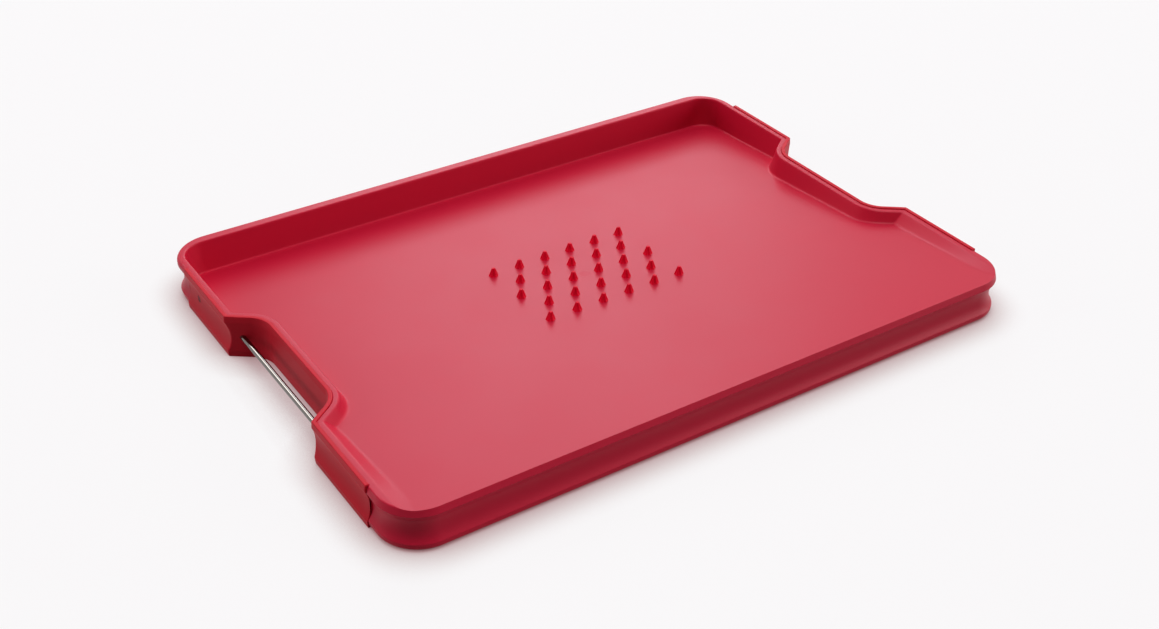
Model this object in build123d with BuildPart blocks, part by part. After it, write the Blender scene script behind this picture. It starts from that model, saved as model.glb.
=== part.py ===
from build123d import *
from math import atan, cos, pi, sin, tan
import os

# A double-sided moulded carving board. Its slanted cutting plate sheds juice to the deep side of the tray,
# and a rubbery grip wraps each end round a hand notch that is spanned by a steel rod.
# Millimetres, +Z up, +X towards the right end, +Y towards the deep side of the upper tray. The origin lies
# on the table under the middle of the board.

# Overall size
board_length = 380.0        # over the outer faces of the two end grips
board_width = 274.0
board_height = 25.0         # over the upper and lower lips of the end grips
plate_thickness = 4.0       # cutting plate, measured upright
floor_step = 0.25           # how far the shallow end of the tray lies under the rim

# Rim of the body
corner_radius = 22.0
long_rim_width = 7.0        # from the outer face to the tray wall
end_rim_width = 5.4         # the same at the ends, grip and body together
shallow_edge_round = 0.8    # outer edge where the plate runs out to the rim
deep_edge_round = 2.4       # outer edge along the deep half of a tray
rim_lip_height = 4.0        # the lip above and below the cove
rim_cove_depth = 2.6

# Tray walls: how far the foot of each wall stands inside its top
deep_foot_inset = 2.0
side_foot_inset_deep = 2.0
side_foot_inset_shallow = 7.6
notch_foot_inset = 3.3
tray_corner_radius = 14.0
rim_inner_round = 0.9       # where the tray walls of the deep half meet the rim

# End grips
grip_length = 215.0         # seat in the end wall, from seam to seam
grip_proud = 0.65           # above, below and outside the body
grip_wall = 2.5
grip_lip_height = 3.7
grip_cove_depth = 2.1
grip_edge_bevel = 0.45
grip_end_gap = 0.35         # open seam at each end of the strip
grip_clearance = 0.05       # between the strip and its seat

# Rib behind each grip, and the groove that takes it
rib_depth = 1.2
rib_height = 8.0
rib_end_margin = 8.0
rib_root = 0.3              # how far the rib runs into the strip
rib_clearance = 0.1

# Hand notch
notch_mouth = 104.0
notch_depth = 16.8
notch_base = 78.8           # between the sharp corners at the bottom of the notch
notch_corner_radius = 15.0
notch_lip_radius = 1.5

# Handle rod
rod_diameter = 3.0
rod_inset = 7.35            # from the outer face of the grip to the axis of the rod
rod_seat = 5.0              # how far each end runs past the face of the notch wall
rod_clearance = 0.05
rod_end_chamfer = 0.3
socket_end_gap = 0.3

# Carving spikes
spike_pitch = 16.8
spike_row_pitch = 14.65
spike_columns = 6           # in the longer rows, one fewer in the rows between
spike_rows = 5
spike_height = 4.8
spike_base_radius = 2.6
spike_tip_radius = 1.0
spike_groove_depth = 0.75   # at the base, in proportion above it
spike_ribs = 6
spike_root = 0.4            # how far a spike runs into the plate

# Gate mark in the middle of the tray
gate_mark_radius = 2.5
gate_mark_depth = 0.15

cut_margin = 2.0            # how far cutting shapes reach past the body
blank_margin = 0.5          # stock left round the moulding before its rim is cut
tolerance = 0.001           # for finding edges by their place

# Places that follow from the sizes
half_length = board_length / 2
half_width = board_width / 2
middle = board_height / 2
body_half_length = half_length - grip_proud
body_bottom = grip_proud
body_top = board_height - grip_proud
wall_x = half_length - end_rim_width
wall_y = half_width - long_rim_width
floor_slope = (body_top - floor_step - middle - plate_thickness / 2) / half_width
floor_angle = atan(floor_slope)
notch_x = half_length - notch_depth
flank_angle = atan((notch_mouth - notch_base) / 2 / notch_depth)
flank_shift = 1 / cos(flank_angle) - tan(flank_angle)
grip_reach = grip_length / 2
rib_reach = grip_reach - rib_end_margin
rod_x = half_length - rod_inset
rod_reach = notch_mouth / 2 - rod_inset * tan(flank_angle) + rod_seat
foot_inset = end_rim_width + notch_foot_inset


def floor_height(y):
    """Height of the upper cutting face at a distance y from the middle."""
    return middle + plate_thickness / 2 - floor_slope * y


def mouth_corner(inset):
    """Corner of the notch mouth in plan, moved into the board by inset."""
    return (half_length - inset, notch_mouth / 2 + inset * flank_shift)


def base_corner(inset):
    """Sharp corner at the bottom of the notch in plan, moved into the board by inset."""
    return (notch_x - inset, notch_base / 2 + inset * flank_shift)


def with_mirror_image(points):
    """A chain of plan points, followed by its image across the X axis in reverse order."""
    return points + [(x, -y) for x, y in points[::-1]]


def end_wall(inset, reach):
    """The right end wall in plan, moved into the board by inset, from y = reach to y = -reach."""
    return with_mirror_image([(half_length - inset, reach), mouth_corner(inset), base_corner(inset)])


def corners_at(sketch, x):
    """The corners of a plan sketch that stand at plus or minus x."""
    return [corner for corner in sketch.vertices() if abs(abs(corner.X) - x) < tolerance]


def wall_edges(edges, height, deep_side):
    """Edges at a given height that follow the deep wall of a tray and run on to its notches."""
    found = ShapeList()
    for edge in edges:
        ends = [edge @ 0, edge @ 1]
        level = all(abs(end.Z - height) < tolerance for end in ends)
        in_length = all(abs(end.X) < wall_x + tolerance for end in ends)
        in_width = all(abs(end.Y) < wall_y + tolerance for end in ends)
        deep = (edge @ 0.5).Y * deep_side > mouth_corner(0)[1]
        if level and in_length and in_width and deep:
            found.append(edge)
    return found


# Outline of the upper tray in plan: its edge under the rim, and its foot on the slanted plate. Both run a
# little past the shallow side of the board, where the plate meets the top of the rim.
shallow_y = -(half_width + floor_step / floor_slope / 2)
deep_foot_y = wall_y - deep_foot_inset
side_foot_taper = (side_foot_inset_shallow - side_foot_inset_deep) / (deep_foot_y - shallow_y)


def side_foot_x(y):
    """Foot of the side wall on the plate, at a distance y from the middle."""
    return wall_x - side_foot_inset_deep - side_foot_taper * (deep_foot_y - y)


def foot_mouth_corner(side):
    """Where the notch flank meets the side wall on the plate: side is 1 in the deep half, else -1."""
    flank_x, flank_y = mouth_corner(foot_inset)
    run = (side_foot_x(side * flank_y) - flank_x) / (1 - side * side_foot_taper * tan(flank_angle))
    return (flank_x + run, side * (flank_y + run * tan(flank_angle)))


edge_notch = with_mirror_image([mouth_corner(end_rim_width), base_corner(end_rim_width)])
foot_notch = with_mirror_image([base_corner(foot_inset)])
right_edge = [(wall_x, wall_y), *edge_notch, (wall_x, shallow_y)]
right_foot = [
    (side_foot_x(deep_foot_y), deep_foot_y),
    foot_mouth_corner(1),
    *foot_notch,
    foot_mouth_corner(-1),
    (side_foot_x(shallow_y), shallow_y),
]
floor_plane = Plane(
    origin=(0, 0, floor_height(0)),
    x_dir=(1, 0, 0),
    z_dir=(0, sin(floor_angle), cos(floor_angle)),
)

# Upper hollow, the space over the slanted plate. Each of its walls is ruled from the rim to the plate, so
# the walls lean more and more towards the shallow side.
with BuildPart() as upper_hollow:
    with BuildSketch(Plane.XY.offset(body_top)) as tray_edge:
        with BuildLine():
            Polyline(*right_edge, *[(-x, y) for x, y in right_edge[::-1]], close=True)
        make_face()
        fillet(corners_at(tray_edge, notch_x - end_rim_width), notch_corner_radius + end_rim_width)
        fillet(tray_edge.vertices().group_by(Axis.Y)[-1], tray_corner_radius)
    with BuildSketch(floor_plane) as tray_foot:
        with BuildLine():
            slant_foot = [(x, y / cos(floor_angle)) for x, y in right_foot]
            Polyline(*slant_foot, *[(-x, y) for x, y in slant_foot[::-1]], close=True)
        make_face()
        fillet(corners_at(tray_foot, notch_x - foot_inset), notch_corner_radius + foot_inset)
        fillet(tray_foot.vertices().group_by(Axis.Y)[-1], tray_corner_radius - deep_foot_inset)
    loft(ruled=True)

# The hollow under the plate is the same one turned over about the length of the board.
lower_hollow = upper_hollow.part.rotate(Axis((0, 0, middle), (1, 0, 0)), 180)


def wall_band(outer, inner, reach):
    """A strip in plan that follows the right end wall, between two insets."""
    with BuildSketch(mode=Mode.PRIVATE) as band:
        with BuildLine():
            Polyline(*end_wall(outer, reach), *end_wall(inner, reach)[::-1], close=True)
        make_face()
        fillet(corners_at(band, notch_x - outer), notch_corner_radius + outer)
        fillet(corners_at(band, notch_x - inner), notch_corner_radius + inner)
    return band.sketch


def end_space(inset, reach):
    """Everything in plan outside the right end wall when that is moved into the board by inset."""
    outside = half_length + cut_margin
    with BuildSketch(mode=Mode.PRIVATE) as space:
        with BuildLine():
            Polyline(*end_wall(inset, reach), (outside, -reach), (outside, reach), close=True)
        make_face()
        fillet(corners_at(space, notch_x - inset), notch_corner_radius + inset)
    return space.sketch


# All that is cut away round the half of the rim that is shallow above and deep below. It leaves two lips
# with a cove between them. The upper lip has a crisp edge and the lower one a full round. The end walls stay
# whole where the grips sit.
rim_start = Plane(origin=(body_half_length, 0, 0), x_dir=(1, 0, 0), z_dir=(0, -1, 0))
with BuildPart() as rim_cutter:
    with BuildLine():
        FilletPolyline(
            (body_half_length, 0),
            (body_half_length, -half_width),
            (-body_half_length, -half_width),
            (-body_half_length, 0),
            radius=corner_radius,
        )
    with BuildSketch(rim_start):
        with BuildLine():
            outside = Polyline(
                (-shallow_edge_round, body_top),
                (-shallow_edge_round, body_top + cut_margin),
                (cut_margin, body_top + cut_margin),
                (cut_margin, body_bottom - cut_margin),
                (-deep_edge_round, body_bottom - cut_margin),
                (-deep_edge_round, body_bottom),
            )
            RadiusArc(outside @ 0, (0, body_top - shallow_edge_round), shallow_edge_round)
            Line((0, body_top - shallow_edge_round), (0, body_top - rim_lip_height))
            ThreePointArc(
                (0, body_top - rim_lip_height),
                (-rim_cove_depth, middle),
                (0, body_bottom + rim_lip_height),
            )
            Line((0, body_bottom + rim_lip_height), (0, body_bottom + deep_edge_round))
            RadiusArc((0, body_bottom + deep_edge_round), outside @ 1, deep_edge_round)
        make_face()
    sweep()
    with BuildSketch(Plane.XY.offset(-cut_margin)):
        Rectangle(board_length + 2 * cut_margin, grip_length)
    extrude(amount=board_height + 2 * cut_margin, mode=Mode.SUBTRACT)


def rib_outline(radius):
    """Cross-section of a spike: ribs at radius, with grooves between them."""
    groove = spike_groove_depth * radius / spike_base_radius
    radii = [radius - groove * (corner % 2) for corner in range(2 * spike_ribs)]
    angles = [pi * (corner + 1) / spike_ribs for corner in range(2 * spike_ribs)]
    return [(r * cos(angle), r * sin(angle)) for r, angle in zip(radii, angles)]


# One spike, a ribbed cone with a flat tip
with BuildPart() as spike:
    with BuildSketch(Plane.XY.offset(-spike_root)):
        with BuildLine():
            Polyline(*rib_outline(spike_base_radius), close=True)
        make_face()
    with BuildSketch(Plane.XY.offset(spike_height)):
        with BuildLine():
            Polyline(*rib_outline(spike_tip_radius), close=True)
        make_face()
    loft(ruled=True)

# Body: rim, slanted plate and spikes in one moulding
with BuildPart() as board_body:
    with BuildSketch(Plane.XY.offset(body_bottom)):
        length = 2 * (body_half_length + blank_margin)
        width = board_width + 2 * blank_margin
        RectangleRounded(length, width, corner_radius + blank_margin)
    extrude(amount=body_top - body_bottom)
    add(upper_hollow.part, mode=Mode.SUBTRACT)
    add(lower_hollow, mode=Mode.SUBTRACT)
    upper_rim = wall_edges(board_body.edges(), body_top, 1)
    lower_rim = wall_edges(board_body.edges(), body_bottom, -1)
    fillet(upper_rim + lower_rim, rim_inner_round)
    add(rim_cutter.part, mode=Mode.SUBTRACT)
    add(rim_cutter.part.rotate(Axis((0, 0, middle), (1, 0, 0)), 180), mode=Mode.SUBTRACT)

    # Seats of the grips, with the grooves for their ribs
    with BuildSketch(Plane.XY):
        add(end_space(grip_wall + grip_clearance, grip_reach))
        mirror(about=Plane.YZ)
    extrude(amount=board_height, mode=Mode.SUBTRACT)
    with BuildSketch(Plane.XY.offset(middle)):
        add(end_space(grip_wall + rib_depth + rib_clearance, rib_reach + rib_clearance))
        mirror(about=Plane.YZ)
    extrude(amount=rib_height / 2 + rib_clearance, both=True, mode=Mode.SUBTRACT)

    # Blind sockets for the rods
    with BuildSketch(Plane.XZ.offset(-rod_reach - socket_end_gap)):
        with Locations((rod_x, middle), (-rod_x, middle)):
            Circle(rod_diameter / 2 + rod_clearance)
    extrude(amount=2 * (rod_reach + socket_end_gap), mode=Mode.SUBTRACT)

    # Spikes in staggered rows, upright on the slanted plate
    for row in range(spike_rows):
        row_y = (row - (spike_rows - 1) / 2) * spike_row_pitch
        with Locations((0, row_y, floor_height(row_y))):
            with GridLocations(spike_pitch, spike_row_pitch, spike_columns - row % 2, 1):
                add(spike.part)

    # Gate mark
    with BuildSketch(floor_plane):
        Circle(gate_mark_radius)
    extrude(amount=-gate_mark_depth, mode=Mode.SUBTRACT)

# End grip: a strip along the end wall, with a cove outside, a rib behind and a hole for each rod end
with BuildPart() as right_end_grip:
    with BuildSketch(Plane.XY) as strip:
        add(wall_band(0, grip_wall, grip_reach - grip_end_gap))
        mouth = [corner for corner in corners_at(strip, half_length) if abs(corner.Y) < notch_mouth]
        fillet(ShapeList(mouth).sort_by(lambda corner: abs(corner.Y))[:2], notch_lip_radius)
    extrude(amount=board_height)
    levels = right_end_grip.edges().group_by(Axis.Z)
    chamfer(levels[0] + levels[-1], grip_edge_bevel)
    with BuildSketch(Plane.XZ.offset(-grip_reach)):
        with BuildLine():
            cove = ThreePointArc(
                (half_length, board_height - grip_lip_height),
                (half_length - grip_cove_depth, middle),
                (half_length, grip_lip_height),
            )
            Line(cove @ 1, cove @ 0)
        make_face()
    extrude(amount=grip_length, mode=Mode.SUBTRACT)
    with BuildSketch(Plane.XY.offset(middle)):
        add(wall_band(grip_wall - rib_root, grip_wall + rib_depth, rib_reach))
    extrude(amount=rib_height / 2, both=True)
    with BuildSketch(Plane.XZ.offset(-rod_reach)):
        with Locations((rod_x, middle)):
            Circle(rod_diameter / 2 + rod_clearance)
    extrude(amount=2 * rod_reach, mode=Mode.SUBTRACT)

with BuildPart() as left_end_grip:
    add(right_end_grip.part.mirror(Plane.YZ))

# Rods across the hand notches
with BuildPart() as right_handle_rod:
    with BuildSketch(Plane.XZ.offset(-rod_reach)):
        with Locations((rod_x, middle)):
            Circle(rod_diameter / 2)
    extrude(amount=2 * rod_reach)
    chamfer(right_handle_rod.edges().filter_by(GeomType.CIRCLE), rod_end_chamfer)

with BuildPart() as left_handle_rod:
    add(right_handle_rod.part.mirror(Plane.YZ))

board_body.part.label = "board_body"
left_end_grip.part.label = "left_end_grip"
right_end_grip.part.label = "right_end_grip"
left_handle_rod.part.label = "left_handle_rod"
right_handle_rod.part.label = "right_handle_rod"

os.makedirs("parts", exist_ok=True)
for piece in (board_body, left_end_grip, right_end_grip, left_handle_rod, right_handle_rod):
    export_step(piece.part, f"parts/{piece.part.label}.step")
    print(piece.part.label, round(piece.part.volume), "mm3", len(piece.solids()), "solid")
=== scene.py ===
import logging
import math
from dataclasses import dataclass
from enum import Enum
from typing import Sequence

import bmesh
import bpy
import numpy as np
from bpy.types import ID, Material, NodeInputs, NodeOutputs, NodeSocket, NodeTree, Object
from mathutils import Matrix, Vector

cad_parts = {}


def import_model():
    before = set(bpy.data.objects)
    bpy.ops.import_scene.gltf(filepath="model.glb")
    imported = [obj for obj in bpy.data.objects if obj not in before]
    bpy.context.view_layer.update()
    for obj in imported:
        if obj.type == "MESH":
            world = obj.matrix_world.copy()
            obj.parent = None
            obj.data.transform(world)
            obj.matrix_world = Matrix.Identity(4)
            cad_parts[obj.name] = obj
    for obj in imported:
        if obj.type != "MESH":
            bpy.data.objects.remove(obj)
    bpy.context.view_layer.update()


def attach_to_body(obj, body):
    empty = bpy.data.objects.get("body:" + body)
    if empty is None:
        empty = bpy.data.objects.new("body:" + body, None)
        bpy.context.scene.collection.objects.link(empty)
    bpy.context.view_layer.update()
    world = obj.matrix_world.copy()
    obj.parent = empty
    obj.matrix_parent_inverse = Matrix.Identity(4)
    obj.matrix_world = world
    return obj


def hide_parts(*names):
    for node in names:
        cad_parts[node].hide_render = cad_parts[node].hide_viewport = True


# Looks of the double-sided carving board: its moulded body and spikes, the rubber strips round its ends, and
# the steel rods across its hand notches. Shapes are worked out in millimetres and become metres in the mesh.

MILLIMETRE = 0.001
MERGE_DISTANCE = 0.000003  # metres: points nearer than this are one point
TINY = 1e-9  # keeps a length that is divided by away from nothing
FAR = 1e6  # millimetres: further than any edge of the board
LOG = logging.getLogger("carving_board")

Triple = tuple[float, float, float]
Colour = tuple[float, float, float, float]


class End(Enum):
    """Which end of the board a piece belongs to. The value is the sign of its X."""

    LEFT = -1
    RIGHT = 1


class Node(Enum):
    """Names of the CAD nodes."""

    BODY = "board_body"
    LEFT_GRIP = "left_end_grip"
    RIGHT_GRIP = "right_end_grip"
    LEFT_ROD = "left_handle_rod"
    RIGHT_ROD = "right_handle_rod"


class Slot(Enum):
    """Material slots of the record."""

    BOARD = "board_plastic"
    GRIP = "grip_plastic"
    ROD = "rod_steel"


class Kind(Enum):
    """Kinds of socket of a node group."""

    VALUE = "NodeSocketFloat"
    VECTOR = "NodeSocketVector"
    COLOUR = "NodeSocketColor"


# -------- sizes


@dataclass(frozen=True)
class BoardSizes:
    """Sizes of the board in millimetres, the same as those of the solids."""

    length: float = 380.0
    width: float = 274.0
    height: float = 25.0
    plate: float = 4.0
    floor_step: float = 0.25
    corner_radius: float = 22.0
    long_rim: float = 7.0
    end_rim: float = 5.4
    shallow_edge_round: float = 0.8
    deep_edge_round: float = 2.4
    lip_height: float = 4.0
    cove_depth: float = 2.6
    deep_foot: float = 2.0
    side_foot_shallow: float = 7.6
    notch_foot: float = 3.3
    tray_radius: float = 14.0
    grip_reach: float = 107.5
    grip_proud: float = 0.65
    grip_wall: float = 2.5
    grip_gap: float = 0.05
    notch_mouth: float = 104.0
    notch_depth: float = 16.8
    notch_base: float = 78.8
    notch_bend: float = 15.0

    @property
    def half_length(self) -> float:
        """Half the length over the grips."""
        return self.length / 2

    @property
    def body_x(self) -> float:
        """Outer face of the body at its ends."""
        return self.half_length - self.grip_proud

    @property
    def half_width(self) -> float:
        """Half the width."""
        return self.width / 2

    @property
    def middle(self) -> float:
        """Height about which both sides are alike."""
        return self.height / 2

    @property
    def top(self) -> float:
        """Height of the rim of the body."""
        return self.height - self.grip_proud

    @property
    def floor_slope(self) -> float:
        """Fall of the cutting plate per millimetre towards the deep side."""
        return (self.top - self.floor_step - self.middle - self.plate / 2) / self.half_width

    @property
    def foot_slope(self) -> float:
        """How fast the foot of an end wall closes in towards the shallow side.

        Returns:
            Its way along X per millimetre of Y.
        """
        shallow_y = -(self.half_width + self.floor_step / self.floor_slope / 2)
        deep_y = self.half_width - self.long_rim - self.deep_foot
        return (self.side_foot_shallow - self.deep_foot) / (deep_y - shallow_y)

    @property
    def flank_slope(self) -> float:
        """Rise of a notch flank along Y per millimetre of X."""
        return (self.notch_mouth - self.notch_base) / 2 / self.notch_depth

    def floor_height(self, y: np.ndarray) -> np.ndarray:
        """Height of the cutting face at some y: the middle plus half the plate, less the slope times y."""
        return self.middle + self.plate / 2 - self.floor_slope * np.asarray(y, dtype=float)

    def end_foot_x(self, y: np.ndarray) -> np.ndarray:
        """X of the foot of the right end wall at some y, on a straight line that closes in towards -Y."""
        deep_y = self.half_width - self.long_rim - self.deep_foot
        return self.half_length - self.end_rim - self.deep_foot - self.foot_slope * (deep_y - np.asarray(y))

    def notch_corners(self, inset: np.ndarray, cove: np.ndarray, reach: float) -> np.ndarray:
        """Sharp corners of chains along the right end wall and its notch, from the +Y end to the -Y end.

        Setting a wall in by an inset moves its corners along Y by the inset times a shift: the root of one plus
        the square of the flank's slope, less that slope. A cove sets in the straight parts alone.

        Args:
            inset: How far each wall is set in from the outer face of the grip, shape (m,).
            cove: How much further its straight parts are set in, shape (m,).
            reach: The Y of the first corner.

        Returns:
            Corners in plan, shape (m, 6, 2): end, mouth and base of the notch, and the same three mirrored.
        """
        shift = inset * (math.hypot(1.0, self.flank_slope) - self.flank_slope)
        mouth_x = self.half_length - inset - cove
        mouth_y = self.notch_mouth / 2 + shift - cove * self.flank_slope
        x = np.stack([mouth_x, mouth_x, self.half_length - self.notch_depth - inset], axis=1)
        y = np.stack([np.full_like(mouth_x, reach), mouth_y, self.notch_base / 2 + shift], axis=1)
        half = np.stack([x, y], axis=2)
        return np.concatenate([half, half[:, ::-1] * np.array([1.0, -1.0])], axis=1)

    def foot_corners(self, reach: float) -> np.ndarray:
        """Corners of the foot of the right end wall, whose straight parts close in towards -Y.

        From each corner of the mouth, the flank goes on until it meets the line of the end wall's foot.

        Args:
            reach: The Y of the first corner.

        Returns:
            Corners in plan, shape (6, 2).
        """
        foot_inset = np.array([self.end_rim + self.notch_foot])
        corners = self.notch_corners(foot_inset, np.zeros(1), reach)[0]
        corners[[0, 5], 0] = self.end_foot_x(corners[[0, 5], 1])
        side = np.array([1.0, -1.0])
        x, y = corners[[1, 4]].T
        run = (self.end_foot_x(y) - x) / (1 - side * self.foot_slope * self.flank_slope)
        corners[[1, 4]] = np.stack([x + run, y + side * run * self.flank_slope], axis=1)
        return corners


# -------- surface making


def rounded_chain(
    corners: np.ndarray, radii: np.ndarray, arc_steps: Sequence[int], straight_steps: Sequence[int]
) -> np.ndarray:
    """Points along many chains of straight runs joined by circular arcs, worked out together.

    An arc starts a tangent length before its corner, where the tangent length is the radius times the tangent
    of half the bend. A point on it is the start, plus radius times sine of the angle along the first run,
    plus radius times one less its cosine towards the centre.

    Args:
        corners: Corners of m chains in plan, shape (m, k, 2), with the two free ends among them.
        radii: Radius at each inner corner, shape (m, k - 2).
        arc_steps: Steps of each arc.
        straight_steps: Steps of each straight run.

    Returns:
        Points of shape (m, n, 2).
    """
    runs = np.diff(corners, axis=1)
    along = runs / np.linalg.norm(runs, axis=2, keepdims=True)
    before, after = along[:, :-1], along[:, 1:]
    cross = before[..., 0] * after[..., 1] - before[..., 1] * after[..., 0]
    bend = np.arctan2(cross, (before * after).sum(axis=2))
    tangent = (radii * np.tan(np.abs(bend) / 2))[..., None]
    starts = corners[:, 1:-1] - before * tangent
    ends = corners[:, 1:-1] + after * tangent
    inward = np.stack([-before[..., 1], before[..., 0]], axis=-1) * np.sign(bend)[..., None]
    run_starts = np.concatenate([corners[:, :1], ends], axis=1)
    run_ends = np.concatenate([starts, corners[:, -1:]], axis=1)
    pieces = []
    for index, steps in enumerate(straight_steps):
        share = np.linspace(0, 1, steps + 1)[None, :, None]
        pieces.append(run_starts[:, index, None] * (1 - share) + run_ends[:, index, None] * share)
        if index < len(arc_steps):
            share = np.linspace(0, 1, arc_steps[index] + 1)[1:-1]
            angle = (np.abs(bend[:, index, None]) * share)[..., None]
            radius = radii[:, index, None, None]
            pieces.append(
                starts[:, index, None]
                + radius * np.sin(angle) * before[:, index, None]
                + radius * (1 - np.cos(angle)) * inward[:, index, None]
            )
    return np.concatenate(pieces, axis=1)


def corner_blend(
    before: np.ndarray, corner: np.ndarray, after: np.ndarray, tangent: float | np.ndarray, steps: int
) -> np.ndarray:
    """Rounds a corner of every section with a quadratic curve.

    The curve leaves the line to the point before at the tangent length and reaches the line to the point after
    at the same length, with the corner as its control point. Where a line is short, less of it is used.

    Args:
        before: Points before the corners, shape (n, 3).
        corner: The corners.
        after: Points after the corners.
        tangent: Tangent length in millimetres, one for all or one for each corner in a column.
        steps: Steps of the curve.

    Returns:
        Rows of points, shape (steps + 1, n, 3).
    """
    most = 0.48  # of a line that one corner may use
    back, ahead = before - corner, after - corner
    back_length = np.linalg.norm(back, axis=1, keepdims=True)
    ahead_length = np.linalg.norm(ahead, axis=1, keepdims=True)
    reach = np.minimum(tangent, np.minimum(back_length, ahead_length) * most)
    start = corner + back / np.maximum(back_length, TINY) * reach
    end = corner + ahead / np.maximum(ahead_length, TINY) * reach
    t = np.linspace(0, 1, steps + 1)[:, None, None]
    return (1 - t) ** 2 * start + 2 * t * (1 - t) * corner + t**2 * end


def outward_of(points: np.ndarray) -> np.ndarray:
    """Unit normals on the left hand of a chain that runs along the right end towards -Y.

    Args:
        points: Points of the chain, shape (n, 2).

    Returns:
        The tangent by central differences, turned a quarter turn, shape (n, 2).
    """
    tangent = np.gradient(points, axis=0)
    tangent /= np.linalg.norm(tangent, axis=1, keepdims=True)
    return np.stack([-tangent[:, 1], tangent[:, 0]], axis=1)


def quarter_round(radius: float, steps: int) -> tuple[np.ndarray, np.ndarray]:
    """A quarter circle: the radius times the sine of the angle, and the radius times one less its cosine."""
    angle = np.linspace(0, math.pi / 2, steps + 1)
    return radius * np.sin(angle), radius * (1 - np.cos(angle))


def cove_arc(up: np.ndarray, half: float, depth: float) -> np.ndarray:
    """Depth of a cove at some heights over its middle.

    It is a circular arc through its two edges and its deepest point: the root of the radius squared less the
    height over the middle squared, less the radius, plus the greatest depth.

    Args:
        up: Heights over the middle.
        half: Half the height of the cove.
        depth: Its greatest depth.

    Returns:
        Depths at those heights.
    """
    radius = (half**2 + depth**2) / (2 * depth)
    return np.sqrt(radius**2 - np.minimum(up, half) ** 2) - radius + depth


def full_turn(steps: int) -> np.ndarray:
    """Even angles round a circle, the last one a step short of the first."""
    return np.arange(steps) * 2 * math.pi / steps


def grid_faces(rows: int, columns: int, closed_columns: bool) -> np.ndarray:
    """Corner numbers of the quads of a grid whose points are stored row after row.

    Args:
        rows: Rows of points.
        columns: Points in a row.
        closed_columns: Whether the last column joins the first.

    Returns:
        Corner numbers, shape (quads, 4).
    """
    row = np.arange(rows - 1)[:, None] * columns
    column = np.arange(columns if closed_columns else columns - 1)[None, :]
    after = (column + 1) % columns
    quads = [row + column, row + columns + column, row + columns + after, row + after]
    return np.stack(quads, axis=-1).reshape(-1, 4)


def tube_faces(rows: int, around: int, count: int = 1) -> list[list[int]]:
    """Faces of tubes of closed rings, each with one face at either end.

    Args:
        rows: Rings in a tube.
        around: Points in a ring.
        count: How many tubes there are, stored one after another.

    Returns:
        Corner numbers of each face.
    """
    start = np.arange(count)[:, None, None] * rows * around
    sides = grid_faces(rows, around, closed_columns=True) + start
    ends = np.arange(around) + np.array([[0], [rows - 1]]) * around + start
    return sides.reshape(-1, 4).tolist() + ends.reshape(-1, around).tolist()


def link_object(name: str, data: ID) -> Object:
    """Puts a new object into the scene.

    Args:
        name: Its name.
        data: Its mesh, lamp or camera.

    Returns:
        The object.
    """
    holder = bpy.data.objects.new(name, data)
    bpy.context.scene.collection.objects.link(holder)
    return holder


def make_piece(
    name: str, points: np.ndarray, faces: list[list[int]], material: Material, sharp_angle: float = 35.0
) -> Object:
    """Makes a closed, smooth-shaded object from points in millimetres.

    Doubled points are merged, faces that this leaves without area go with them, and all faces are turned
    outwards. Edges sharper than the given angle stay sharp.

    Args:
        name: Name of the piece.
        points: Points in millimetres, shape (n, 3).
        faces: Corner numbers of each face.
        material: Its finish.
        sharp_angle: Bend in degrees above which an edge stays sharp.

    Returns:
        The new object.
    """
    face_weight = 80  # how much a large face counts in the normals, where 50 is no more than a small one
    mesh = bpy.data.meshes.new(name)
    mesh.from_pydata((points * MILLIMETRE).tolist(), [], faces)
    work = bmesh.new()
    work.from_mesh(mesh)
    bmesh.ops.remove_doubles(work, verts=work.verts, dist=MERGE_DISTANCE)
    bmesh.ops.recalc_face_normals(work, faces=work.faces)
    work.to_mesh(mesh)
    work.free()
    mesh.validate()
    mesh.shade_smooth()
    mesh.set_sharp_from_angle(angle=math.radians(sharp_angle))
    mesh.materials.append(material)
    piece = link_object(name, mesh)
    even = piece.modifiers.new("even_normals", "WEIGHTED_NORMAL")
    even.keep_sharp = True
    even.weight = face_weight
    return piece


# -------- materials


def feed(target: NodeSocket, value: object) -> None:
    """Links an input to a socket, or sets it to a value.

    Args:
        target: The input.
        value: A socket, or a number, vector or colour.
    """
    if isinstance(value, NodeSocket):
        target.id_data.links.new(value, target)
    else:
        target.default_value = value


def feed_all(targets: NodeInputs, values: dict[str | int, object]) -> None:
    """Links or sets a node's inputs, each by its name or number, to sockets or values."""
    for key, value in values.items():
        feed(targets[key], value)


def add_node(tree: NodeTree, kind: str, inputs: dict[str | int, object], **settings: object) -> bpy.types.Node:
    """Adds a shader node.

    Args:
        tree: Where it goes.
        kind: Its type, without the words that all of them start with.
        inputs: Sockets or values by the name or number of the input.
        settings: The node's own settings, which are made before its inputs.

    Returns:
        The node.
    """
    node = tree.nodes.new("ShaderNode" + kind)
    for name, setting in settings.items():
        setattr(node, name, setting)
    feed_all(node.inputs, inputs)
    return node


def calculate(tree: NodeTree, operation: str, first: object, second: object, clamp: bool = False) -> NodeSocket:
    """Adds a Math node on two sockets or numbers, which may be held between 0 and 1, and returns its output."""
    return add_node(tree, "Math", {0: first, 1: second}, operation=operation, use_clamp=clamp).outputs[0]


def noise(tree: NodeTree, place: object, scale: object, detail: float) -> NodeSocket:
    """Adds smooth noise with so many lumps per metre and so many finer layers, and returns its value."""
    return add_node(tree, "TexNoise", {"Vector": place, "Scale": scale, "Detail": detail}).outputs["Fac"]


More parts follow.
